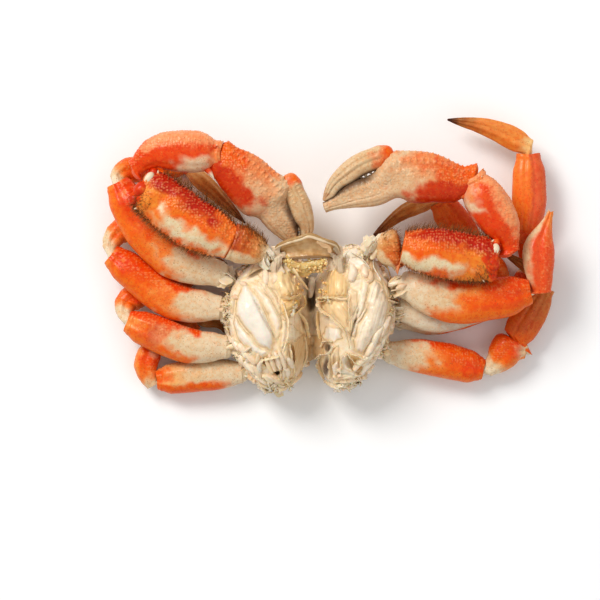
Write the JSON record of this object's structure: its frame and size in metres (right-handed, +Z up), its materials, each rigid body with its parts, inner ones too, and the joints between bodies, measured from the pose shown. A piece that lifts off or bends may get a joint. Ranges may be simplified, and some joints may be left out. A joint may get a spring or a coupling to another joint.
{
  "type": "cooked crab",
  "caption": "Cleaned cooked crab without its top shell, lying on its underside, with white body meat, two claws and folded orange walking legs.",
  "frame": {"origin": "centre of the bounding box in plan, at the height of the flat underside the crab lies on", "axes": "+X across the crab towards its right claw as seen from above, the longest extent; +Y towards its mouth and claw tips; +Z up"},
  "size_m": [0.2272, 0.1394, 0.0455],
  "materials": {
    "ischium_shell": "rough cooked shell, mottled orange and cream with brown bristles",
    "merus_shell": "smooth cooked shell, cream near the body and orange at the knee",
    "carpus_shell": "granular red-orange cooked shell with a pale patch",
    "propodus_shell": "smooth orange cooked shell with fine pits",
    "dactyl_shell": "grooved amber shell with a dark tip",
    "finger_shell": "smooth cream shell with low ridges",
    "palm_shell": "granular orange cooked shell turning cream towards the fingers",
    "body_meat": "moist white crab meat under thin cream and amber membranes",
    "frame_shell": "thin tan shell with a brown edge"
  },
  "bodies": {
    "root": {"body": "body_meat", "mouth_frame": "frame_shell", "left_claw_ischium": "ischium_shell", "left_claw_merus": "merus_shell", "left_claw_carpus": "carpus_shell", "left_claw_palm": "palm_shell", "left_claw_finger": "finger_shell", "right_claw_ischium": "ischium_shell", "right_claw_merus": "merus_shell", "right_claw_carpus": "carpus_shell", "right_claw_palm": "palm_shell", "right_claw_finger": "finger_shell", "left_leg_1_merus": "merus_shell", "left_leg_1_carpus": "carpus_shell", "left_leg_1_propodus": "propodus_shell", "left_leg_1_dactyl": "dactyl_shell", "left_leg_2_merus": "merus_shell", "left_leg_2_carpus": "carpus_shell", "left_leg_2_propodus": "propodus_shell", "left_leg_2_dactyl": "dactyl_shell", "left_leg_3_merus": "merus_shell", "left_leg_3_carpus": "carpus_shell", "left_leg_3_propodus": "propodus_shell", "left_leg_3_dactyl": "dactyl_shell", "left_leg_4_merus": "merus_shell", "left_leg_4_carpus": "carpus_shell", "left_leg_4_propodus": "propodus_shell", "left_leg_4_dactyl": "dactyl_shell", "right_leg_1_merus": "merus_shell", "right_leg_1_carpus": "carpus_shell", "right_leg_1_propodus": "propodus_shell", "right_leg_1_dactyl": "dactyl_shell", "right_leg_2_merus": "merus_shell", "right_leg_2_carpus": "carpus_shell", "right_leg_2_propodus": "propodus_shell", "right_leg_2_dactyl": "dactyl_shell", "right_leg_3_merus": "merus_shell", "right_leg_3_carpus": "carpus_shell", "right_leg_3_propodus": "propodus_shell", "right_leg_3_dactyl": "dactyl_shell", "right_leg_4_merus": "merus_shell", "right_leg_4_carpus": "carpus_shell", "right_leg_4_propodus": "propodus_shell", "right_leg_4_dactyl": "dactyl_shell"}
  },
  "joints": []
}
